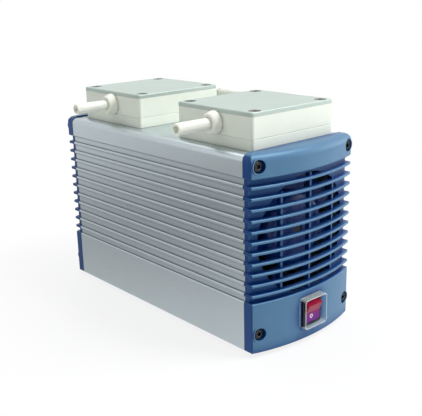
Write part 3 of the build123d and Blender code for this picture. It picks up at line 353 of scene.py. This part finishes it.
def switch_finishes():
    """Black frame, red rocker and clear cap."""
    black = Finish("black_plastic", (0.008, 0.008, 0.010), 0.4).shine(0.3)
    black.mottle(150, 0.3).gloss(500, 0.35, 0.5).relief(1500, 0.00002, edge=0.0003)
    black.put("switch_frame", "mains_inlet")
    low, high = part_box("switch_rocker")
    # Violet base, a painted reflection of the blue cover, with the rocker's red tinted over the upper part.
    red = Finish("rocker_red", (0.15, 0.010, 0.23), 0.24).shine(0.2)
    red.mottle(200, 0.12)
    middle = (low[2] + high[2]) / 2
    violet_end, red_end = (middle + offset for offset in ROCKER_REFLECTION_BLEND)
    red.tint(red.ramp_along("Z", violet_end, red_end), (0.33, 0.006, 0.04))
    red.gloss(300, 0.16, 0.26).relief(900, 0.00001, edge=0.0005)
    red.put("switch_rocker")
    clear = Finish("clear_cap", (0.82, 0.90, 0.85), 0.08)
    clear.relief(300, 0.0001)
    # Alpha of the pale cap: painted highlight at the edges, painted reflection on the upper and lower
    # walls.
    edges = clear.rims(CAP_EDGE, 0.0, CAP_EDGE_HIGHLIGHT_ALPHA)
    wall_reflection = clear.facing("Z", 0.3, 0.8, CAP_WALL_REFLECTION_ALPHA)
    clear.link(clear.strongest(edges, wall_reflection), clear.bsdf.inputs["Alpha"])
    clear.put("splash_cover")


# ---------------------------------------------------------------- stage

FLOOR_SIZE = 6.0
FLOOR_COLOUR = (0.86, 0.87, 0.88)
FLOOR_ROUGHNESS = 0.9
FLOOR_SHADOW = 0.2
SHADOW_REACH = (0.12, 0.42)
# Painted shade on the floor, seen in reflections only: centre, reach and lowest strength
REFLECTED_SHADE_CENTRE = (-0.45, 0.24, 0.0)
REFLECTED_SHADE_REACH = (0.04, 0.55)
REFLECTED_SHADE_LOW = 0.14
ROOM_SEEN = 1.0
ROOM_LIGHT = 0.34
LAMP_TARGET = Vector((0, 0, 0.12))

# Name, azimuth, elevation, distance, size and power
LAMPS = (
    ("key", 36, 54, 1.8, 0.7, 26),
    ("veil", 60, 6, 1.9, 1.3, 14),
    ("top", 170, 66, 1.5, 0.8, 6),
    ("fill", -110, 30, 1.8, 1.2, 3),
)


def distance_ramp(tree, centre, reach, low, high):
    """A value from low to high with the distance from a point of the floor."""
    place = tree.nodes.new("ShaderNodeTexCoord")
    away = tree.nodes.new("ShaderNodeVectorMath")
    away.operation = "DISTANCE"
    away.inputs[1].default_value = centre
    tree.links.new(place.outputs["Object"], away.inputs[0])
    return map_range(tree, away.outputs["Value"], *reach, low, high)


def floor_material():
    """Floor that shows white, with a faint shadow, and a painted shade beside the object that only
    reflections show.
    """
    material = bpy.data.materials.new("floor")
    material.use_nodes = True
    tree = material.node_tree
    bsdf = tree.nodes["Principled BSDF"]
    bsdf.inputs["Base Color"].default_value = (*FLOOR_COLOUR, 1)
    bsdf.inputs["Roughness"].default_value = FLOOR_ROUGHNESS
    glow = tree.nodes.new("ShaderNodeEmission")
    mix = tree.nodes.new("ShaderNodeMixShader")
    path = tree.nodes.new("ShaderNodeLightPath")
    seen, mirrored = path.outputs["Is Camera Ray"], path.outputs["Is Glossy Ray"]
    white = distance_ramp(tree, (0, 0, 0), SHADOW_REACH, 1 - FLOOR_SHADOW, 1.0)
    # Painted shade: darker floor beside the object, seen only in reflections, standing in for the object's
    # shadow there.
    reflected_shade = distance_ramp(tree, REFLECTED_SHADE_CENTRE, REFLECTED_SHADE_REACH, REFLECTED_SHADE_LOW, 1.0)
    strength = combine(tree, "ADD", seen, combine(tree, "MULTIPLY", mirrored, reflected_shade))
    share = combine(tree, "MAXIMUM", combine(tree, "MULTIPLY", seen, white), mirrored)
    tree.links.new(strength, glow.inputs["Strength"])
    tree.links.new(share, mix.inputs[0])
    tree.links.new(bsdf.outputs[0], mix.inputs[1])
    tree.links.new(glow.outputs[0], mix.inputs[2])
    tree.links.new(mix.outputs[0], tree.nodes["Material Output"].inputs["Surface"])
    return material


def make_floor():
    """Wide plain floor under the feet."""
    mesh = bpy.data.meshes.new("floor")
    h = FLOOR_SIZE / 2
    mesh.from_pydata([(-h, -h, 0), (h, -h, 0), (h, h, 0), (-h, h, 0)], [], [(0, 1, 2, 3)])
    mesh.materials.append(floor_material())
    floor = bpy.data.objects.new("floor", mesh)
    bpy.context.scene.collection.objects.link(floor)


def area_light(name, azimuth, elevation, distance, size, power):
    """Soft square lamp aimed at the object; azimuth runs from -Y towards +X, in degrees."""
    a, e = radians(azimuth), radians(elevation)
    place = LAMP_TARGET + distance * Vector((sin(a) * cos(e), -cos(a) * cos(e), sin(e)))
    data = bpy.data.lights.new(name, "AREA")
    data.shape = "SQUARE"
    data.size = size
    data.energy = power
    lamp = bpy.data.objects.new(name, data)
    lamp.location = place
    lamp.rotation_euler = (place - LAMP_TARGET).to_track_quat("Z", "Y").to_euler()
    bpy.context.scene.collection.objects.link(lamp)


def make_world():
    """White room: full strength where it is seen, weaker as light."""
    world = bpy.data.worlds.new("room")
    bpy.context.scene.world = world
    world.use_nodes = True
    tree = world.node_tree
    room = tree.nodes["Background"]
    room.inputs["Color"].default_value = (1, 1, 1, 1)
    path = tree.nodes.new("ShaderNodeLightPath")
    strength = tree.nodes.new("ShaderNodeMapRange")
    strength.inputs["To Min"].default_value = ROOM_SEEN
    strength.inputs["To Max"].default_value = ROOM_LIGHT
    tree.links.new(path.outputs["Is Diffuse Ray"], strength.inputs["Value"])
    tree.links.new(strength.outputs[0], room.inputs["Strength"])


def make_lights():
    """Soft key in front on the right, a low lamp beside it, and weak fills."""
    make_world()
    bpy.context.scene.view_settings.view_transform = "Standard"
    for lamp in LAMPS:
        area_light(*lamp)


# ---------------------------------------------------------------- mark on the rocker

MARK_RADIUS = 0.0021
MARK_WIDTH = 0.0008
MARK_HEIGHT = 0.0001
MARK_SEGMENTS = 48
MARK_X = -0.002
MARK_RISE = 0.27
IN_FRONT = -1.0


def on_face(tree, x, z, lift):
    """Point at a small height above the front of a mesh."""
    place, normal, _, _ = tree.ray_cast(Vector((x, IN_FRONT, z)), Vector((0, 1, 0)))
    return place + normal * lift


def ring_mesh(node, x, z):
    """Thin printed ring that follows the front of a node."""
    source = bmesh.new()
    source.from_mesh(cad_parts[node].data)
    tree = BVHTree.FromBMesh(source)
    ring = bmesh.new()
    outer, inner = MARK_RADIUS, MARK_RADIUS - MARK_WIDTH
    angles = [2 * pi * i / MARK_SEGMENTS for i in range(MARK_SEGMENTS)]
    loops = []
    for radius, lift in ((outer, 0), (outer, MARK_HEIGHT), (inner, MARK_HEIGHT), (inner, 0)):
        points = [on_face(tree, x + radius * cos(a), z + radius * sin(a), lift) for a in angles]
        loops.append([ring.verts.new(point) for point in points])
    for a, b in zip(loops, loops[1:]):
        for i in range(MARK_SEGMENTS):
            j = (i + 1) % MARK_SEGMENTS
            ring.faces.new((a[i], a[j], b[j], b[i]))
    mesh = bpy.data.meshes.new("off_mark")
    ring.to_mesh(mesh)
    ring.free()
    source.free()
    return mesh


def make_mark():
    """White ring for off, on the rocker's lower half."""
    low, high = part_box("switch_rocker")
    z = low[2] + MARK_RISE * (high[2] - low[2])
    mark = bpy.data.objects.new("off_mark", ring_mesh("switch_rocker", MARK_X, z))
    bpy.context.scene.collection.objects.link(mark)
    ink = Finish("white_ink", (0.85, 0.86, 0.87), 0.4)
    ink.mottle(900, 0.08).relief(3000, 0.000005)
    mark.data.materials.append(ink.material)
    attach(mark, "rocker")


def main():
    """Camera, stage, finishes and the mark."""
    make_camera()
    make_lights()
    make_floor()
    body_finishes()
    cover_finishes()
    screw_finishes()
    head_finishes()
    drive_finishes()
    switch_finishes()
    make_mark()


main()
